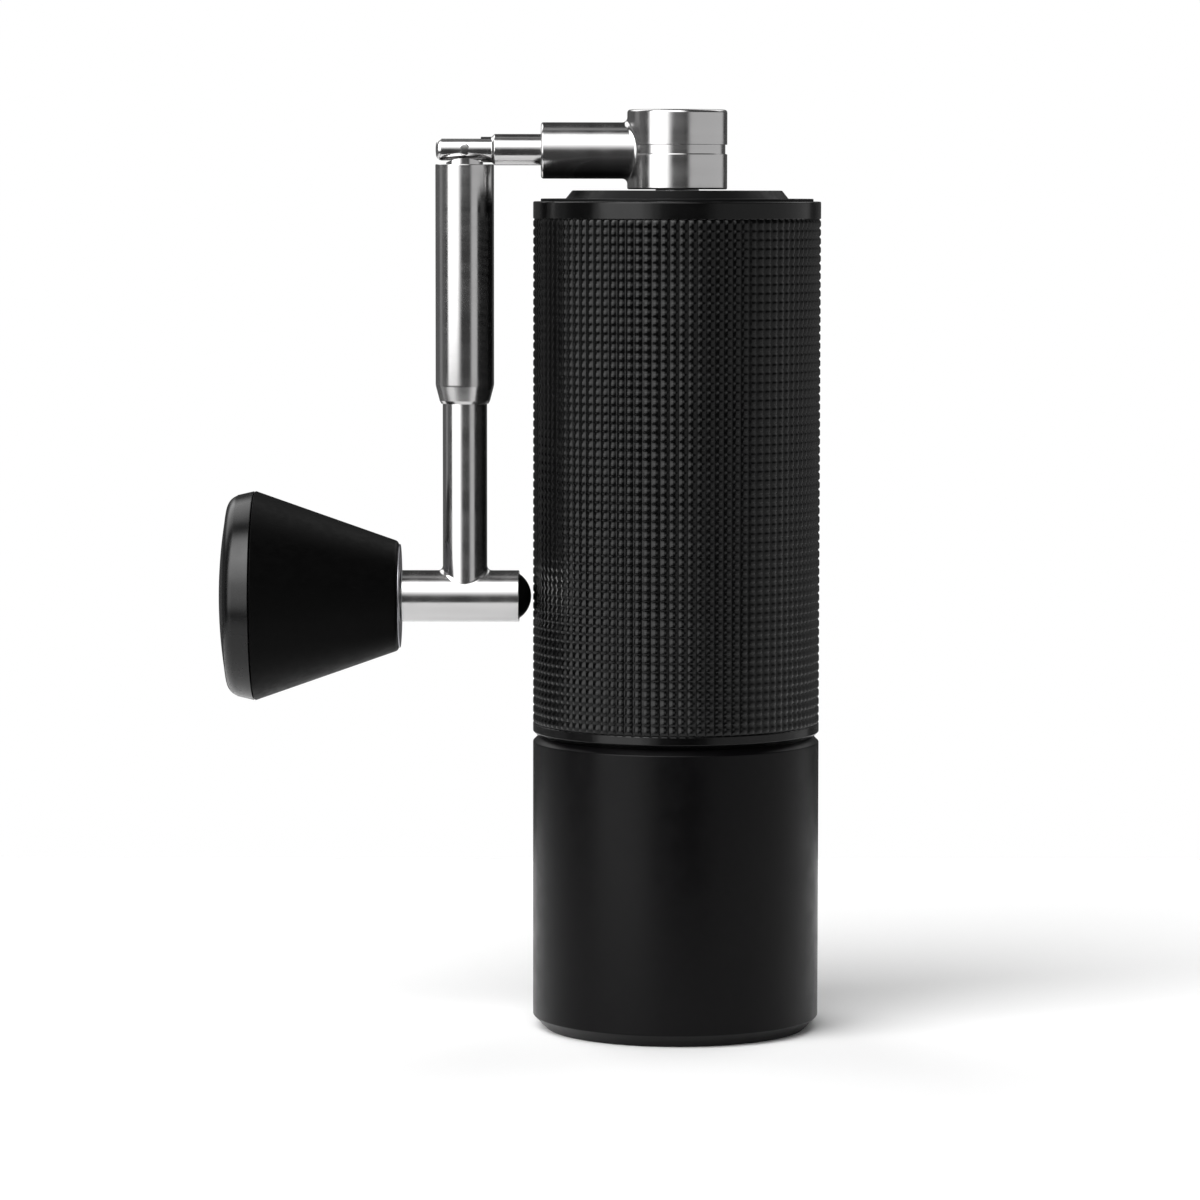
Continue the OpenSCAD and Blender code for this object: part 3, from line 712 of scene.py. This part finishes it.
dress(make_hub(), "hub_boss")
arm = make_arm()
dress(arm, "crank_arm")
arm.data.materials[0] = steel_along_x
add_detail(rolled_fillet("arm_weld", WELD_R, hub_weld), "crank_arm")
dress(make_rod(), "link_rod")
add_detail(rolled_fillet("rod_weld", WELD_R, rod_weld), "link_rod")
dress(make_pin(), "hinge_pin")
dress(make_sleeve(), "lock_sleeve")
tee = make_tee()
dress(tee, "tee_bar")
tee.data.materials[0] = steel_along_x
dress(make_bumper(), "bumper")


# ---------------------------------------------------------------- knob

knob_x0 = high("knob_end_disc").x
knob_seam = low("knob_body").x
knob_face = low("knob_cap").x
knob_r = high("knob_body").y
disc_r = high("knob_end_disc").y
end_r = disc_r + 0.6
AXLE_R = 2.5
KNOB_WALL = 2.6


def make_knob_body():
    end = high("knob_body").x
    boss = 5.5
    floor = end - 3.2
    outline = [
        (AXLE_R, end), (end_r - 0.1, end, 0.9), (knob_r, knob_seam + 0.05, 0.1),
        (knob_r - KNOB_WALL, knob_seam + 0.05),
        (end_r - 1.2, floor, 0.5), (boss, floor, 0.5), (boss, knob_seam + 2), (AXLE_R, knob_seam + 2),
    ]
    return turned("knob_body_finished", soften(outline, closed=True), "X", (0, 0, tee_z), 224, closed=True)


def make_knob_cap():
    cap_r = knob_r - 0.75
    round_r = 2.6
    dome = 1.45
    edge = knob_seam - 3.4
    shoulder = cap_r - round_r
    ball = (shoulder ** 2 + dome ** 2) / (2 * dome)
    spread = atan2(shoulder, ball - dome) * 180 / pi
    spigot = knob_r - KNOB_WALL - 1
    outline = soften([
        (6.1, knob_seam + 1.9), (spigot, knob_seam + 1.9), (spigot, knob_seam - 0.1),
        (knob_r - 0.25, knob_seam - 0.1, 0.1), (knob_r - 0.06, knob_seam - 0.25, 0.1), (cap_r, edge + 0.2),
    ])
    corner = arc((shoulder, edge + 0.9), round_r, -10, -82, 12)
    crown = arc((0, knob_face + ball), ball, spread - 90, -90, 16)
    outline += corner + crown[1:-1] + [(0, knob_face)]
    return turned("knob_cap_finished", outline, "X", (0, 0, tee_z), 224)


def make_knob_disc():
    inner = low("knob_end_disc").x
    hole = AXLE_R + 0.1
    outline = [(hole, inner), (disc_r, inner, 0.08), (disc_r, knob_x0, 0.12), (hole, knob_x0)]
    return turned("knob_end_disc_finished", soften(outline, closed=True), "X", (0, 0, tee_z), 160,
                  closed=True)


dress(make_knob_body(), "knob_body")
dress(make_knob_cap(), "knob_cap")
dress(make_knob_disc(), "knob_end_disc")


# ---------------------------------------------------------------- floor, light and camera

FLOOR_LOW, FLOOR_HIGH = (-300, -170), (330, 230)
PAPER = 0.9
STUDIO_DARK = 0.06
# Panels of light as (brightness, azimuths, elevations), seen from the object, in degrees. Each run of
# four is (outer, inner, inner, outer). Azimuth 0 is towards the camera, and 90 is towards +X.
PANELS = [
    (2.9, (-72, -62, -34, -8), (-14, -5, 50, 84)),  # front left soft box
    (2.9, (-62, -52, 10, 26), (-4, 42, 50, 84)),  # its upper part, over the front
    (5.5, (-74, -62, -32, -10), (6, 26, 52, 74)),  # its bright core
    (0.7, (20, 32, 124, 138), (-91, -90, 2, 18)),  # dim panel on the right, from straight below up
    (1.5, (112, 124, 158, 168), (14, 30, 60, 76)),  # behind, right
    (2.2, (-168, -158, -118, -106), (14, 30, 60, 76)),  # behind, left
    (0.14, (-160, -150, -84, -74), (-60, -40, 40, 60)),  # faint fill on the left
    (0.32, (-120, -112, -102, -92), (-60, -40, 40, 60)),  # strip within it
    (0.1, (-182, -181, -150, -138), (-30, -20, 10, 18)),  # low fill behind, left half
    (0.1, (138, 150, 181, 182), (-30, -20, 10, 18)),  # low fill behind, right half
    (0.35, (-182, -181, -120, -100), (66, 80, 89, 91)),  # overhead behind, left half
    (0.35, (100, 120, 181, 182), (66, 80, 89, 91)),  # overhead behind, right half
]
LAMP_AT, LAMP_AIM = (-0.5, -0.75, 1.25), (0, 0, 0.08)
LAMP_SIZE, LAMP_POWER = (1.2, 0.9), 5
# The camera, with its place in metres and its tilt and roll in degrees
CAMERA_AT = (-0.0142, -0.92, 0.156)
CAMERA_LENS = 149.46
CAMERA_DOWN = 4.75
CAMERA_ROLL = -0.07


def make_floor():
    """A plain pale floor under the object."""
    (x0, y0), (x1, y1) = FLOOR_LOW, FLOOR_HIGH
    bm = bmesh.new()
    corners = [bm.verts.new((x, y, 0)) for x, y in ((x0, y0), (x1, y0), (x1, y1), (x0, y1))]
    bm.faces.new(corners)
    floor = finish_mesh("studio_floor", bm)
    paper = bpy.data.materials.new("floor_paper")
    paper.use_nodes = True
    shader = next(n for n in paper.node_tree.nodes if n.type == "BSDF_PRINCIPLED")
    shader.inputs["Base Color"].default_value = (PAPER, PAPER, PAPER, 1)
    shader.inputs["Roughness"].default_value = 0.9
    floor.data.materials.append(paper)


class Studio:
    """A dark studio round the object with soft-edged panels of light, placed by direction."""

    def __init__(self):
        world = bpy.data.worlds.new("studio")
        bpy.context.scene.world = world
        world.use_nodes = True
        self.tree = world.node_tree
        self.background = next(n for n in self.tree.nodes if n.type == "BACKGROUND")
        self.background.inputs["Color"].default_value = (1, 1, 1, 1)
        split = self.node("ShaderNodeSeparateXYZ")
        coordinates = self.node("ShaderNodeTexCoord")
        self.tree.links.new(coordinates.outputs["Generated"], split.inputs[0])
        x, y, z = split.outputs
        back = self.math("MULTIPLY", y, -1)
        self.azimuth = self.math("MULTIPLY", self.math("ARCTAN2", x, back), 180 / pi)
        self.elevation = self.math("MULTIPLY", self.math("ARCSINE", z), 180 / pi)

    def node(self, kind):
        return self.tree.nodes.new(kind)

    def math(self, operation, *values):
        node = self.node("ShaderNodeMath")
        node.operation = operation
        for socket, value in zip(node.inputs, values):
            if isinstance(value, (int, float)):
                socket.default_value = value
            else:
                self.tree.links.new(value, socket)
        return node.outputs[0]

    def ramp(self, value, start, end):
        """0 before start and 1 after end, or the other way round when start is past end."""
        node = self.node("ShaderNodeMapRange")
        node.interpolation_type = "SMOOTHSTEP"
        rising = start < end
        for key, number in (("From Min", min(start, end)), ("From Max", max(start, end)),
                            ("To Min", 0 if rising else 1), ("To Max", 1 if rising else 0)):
            node.inputs[key].default_value = number
        self.tree.links.new(value, node.inputs["Value"])
        return node.outputs["Result"]

    def window(self, azimuths, elevations):
        """1 inside a soft-edged window. Each argument is (outer, inner, inner, outer) in degrees."""
        parts = [self.ramp(self.azimuth, azimuths[0], azimuths[1]),
                 self.ramp(self.azimuth, azimuths[3], azimuths[2]),
                 self.ramp(self.elevation, elevations[0], elevations[1]),
                 self.ramp(self.elevation, elevations[3], elevations[2])]
        product = parts[0]
        for part in parts[1:]:
            product = self.math("MULTIPLY", product, part)
        return product

    def paint(self, base, lights):
        """lights is a list of (brightness, azimuths, elevations); the brightest one shows."""
        total = base
        for bright, azimuths, elevations in lights:
            shade = self.math("MULTIPLY", self.window(azimuths, elevations), bright)
            total = self.math("MAXIMUM", total, shade)
        return total


def make_studio():
    """Lights the object from the panels. The camera itself sees plain white round the object."""
    studio = Studio()
    light = studio.paint(STUDIO_DARK, PANELS)
    camera_ray = studio.node("ShaderNodeLightPath").outputs["Is Camera Ray"]
    shown = studio.math("MAXIMUM", light, camera_ray)
    studio.tree.links.new(shown, studio.background.inputs["Strength"])


def make_lamp():
    """A gentle overhead soft box that gives the object a contact shadow."""
    lamp = bpy.data.lights.new("overhead_box", "AREA")
    lamp.shape = "RECTANGLE"
    lamp.size, lamp.size_y = LAMP_SIZE
    lamp.energy = LAMP_POWER
    holder = bpy.data.objects.new("overhead_box", lamp)
    bpy.context.scene.collection.objects.link(holder)
    holder.location = LAMP_AT
    aim = Vector(LAMP_AIM) - holder.location
    holder.rotation_euler = aim.to_track_quat("-Z", "Y").to_euler()


def make_camera():
    camera = bpy.data.cameras.new("camera")
    camera.lens = CAMERA_LENS
    camera.sensor_width = 36
    camera.clip_start, camera.clip_end = 0.01, 50
    holder = bpy.data.objects.new("camera", camera)
    bpy.context.scene.collection.objects.link(holder)
    holder.location = CAMERA_AT
    holder.rotation_euler = (radians(90 - CAMERA_DOWN), radians(CAMERA_ROLL), 0)
    bpy.context.scene.camera = holder


make_floor()
make_studio()
make_lamp()
make_camera()
bpy.context.scene.view_settings.view_transform = "Standard"
bpy.context.scene.view_settings.look = "None"
